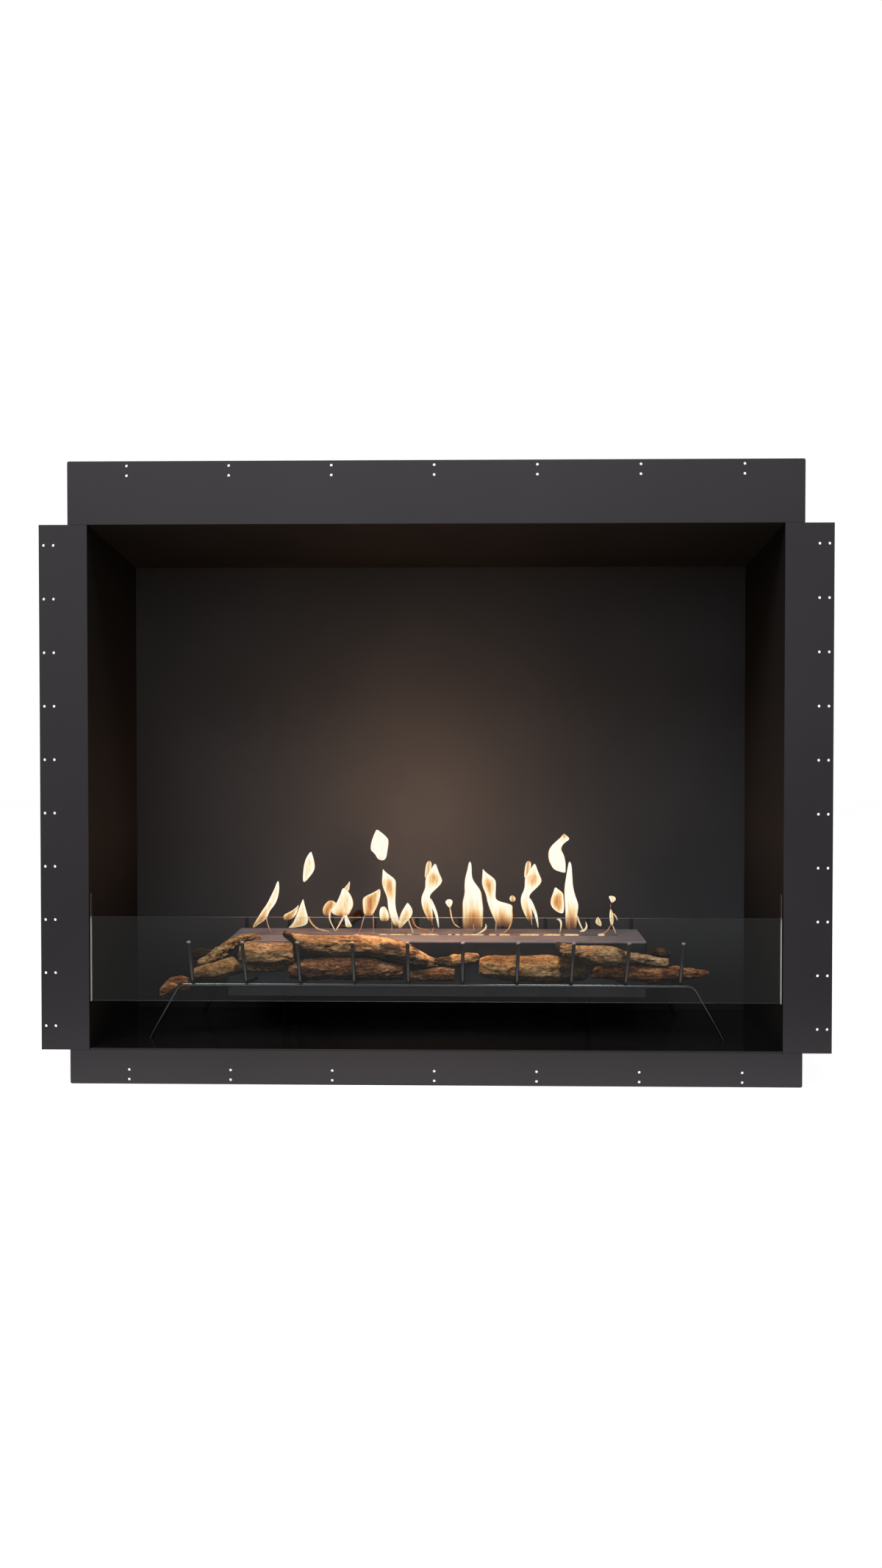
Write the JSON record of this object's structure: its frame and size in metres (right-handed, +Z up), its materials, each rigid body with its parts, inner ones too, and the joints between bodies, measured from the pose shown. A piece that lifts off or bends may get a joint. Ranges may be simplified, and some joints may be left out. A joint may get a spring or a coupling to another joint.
{
  "type": "fireplace insert",
  "caption": "Built-in firebox with four pierced fixing flanges, a linear slot burner, a bent-rod grate of ceramic logs and a low lift-out glass screen.",
  "frame": {"origin": "centre of the rectangle of fixing holes in the two side flanges, on their front face", "axes": "+X to the right seen from the room, +Y into the firebox, +Z up"},
  "size_m": [1.2172, 0.38, 0.96],
  "materials": {
    "flange_paint": "satin charcoal",
    "casing_paint": "satin black",
    "bracket_steel": "plain zinc-grey steel",
    "liner_paint": "matt heat-resistant black",
    "hearth_gloss": "gloss black",
    "clear_glass": "clear, polished edges",
    "channel_steel": "bright",
    "burner_steel": "fine brushed, dark",
    "burner_inner_steel": "plain",
    "ceramic_wool": "soft white fibre",
    "stand_paint": "matt black",
    "grate_paint": "satin dark grey",
    "log_tan": "matt, bark texture",
    "log_dark_brown": "matt, bark texture",
    "log_red_brown": "matt, bark texture"
  },
  "bodies": {
    "insert": {"baffle_hangers": "bracket_steel", "bottom_flange": "flange_paint", "burner_case": "burner_steel", "burner_reservoir": "burner_inner_steel", "burner_top_plate": "burner_steel", "burner_wool": "ceramic_wool", "casing_back_panel": "casing_paint", "casing_base_panel": "casing_paint", "casing_left_panel": "casing_paint", "casing_right_panel": "casing_paint", "casing_screws": "casing_paint", "casing_top_panel": "casing_paint", "flange_rivets": "flange_paint", "grate_front_bar": "grate_paint", "grate_rear_bar": "grate_paint", "grate_rear_tines": "grate_paint", "grate_rod_01": "grate_paint", "grate_rod_02": "grate_paint", "grate_rod_03": "grate_paint", "grate_rod_04": "grate_paint", "grate_rod_05": "grate_paint", "grate_rod_06": "grate_paint", "grate_rod_07": "grate_paint", "grate_rod_08": "grate_paint", "grate_rod_09": "grate_paint", "grate_rod_10": "grate_paint", "hearth_plate": "hearth_gloss", "hearth_supports": "bracket_steel", "heat_baffle": "liner_paint", "left_burner_stand": "stand_paint", "left_flange": "flange_paint", "left_glass_channel": "channel_steel", "left_liner": "liner_paint", "left_shutter_rail": "burner_inner_steel", "log_centre_lower": "log_dark_brown", "log_centre_small": "log_tan", "log_centre_thick": "log_tan", "log_centre_upper": "log_tan", "log_left_branch": "log_tan", "log_left_corner": "log_dark_brown", "log_left_end": "log_red_brown", "log_left_lower": "log_dark_brown", "log_left_rear": "log_dark_brown", "log_left_upper": "log_tan", "log_rear": "log_dark_brown", "log_right_corner": "log_dark_brown", "log_right_lower": "log_red_brown", "log_right_upper": "log_tan", "rear_liner": "liner_paint", "rear_spacers": "bracket_steel", "right_burner_stand": "stand_paint", "right_flange": "flange_paint", "right_glass_channel": "channel_steel", "right_liner": "liner_paint", "right_shutter_rail": "burner_inner_steel", "side_spacers": "bracket_steel", "top_flange": "flange_paint"},
    "screen": {"glass_screen": "clear_glass"},
    "shutter": {"burner_shutter": "burner_inner_steel"}
  },
  "joints": [
    {"name": "screen_lift", "type": "slide", "parent": "insert", "child": "screen", "axis": [0, 0, 1], "range_m": [0, 0.17]},
    {"name": "shutter_slide", "type": "slide", "parent": "insert", "child": "shutter", "axis": [0, -1, 0], "range_m": [0, 0.021]}
  ]
}
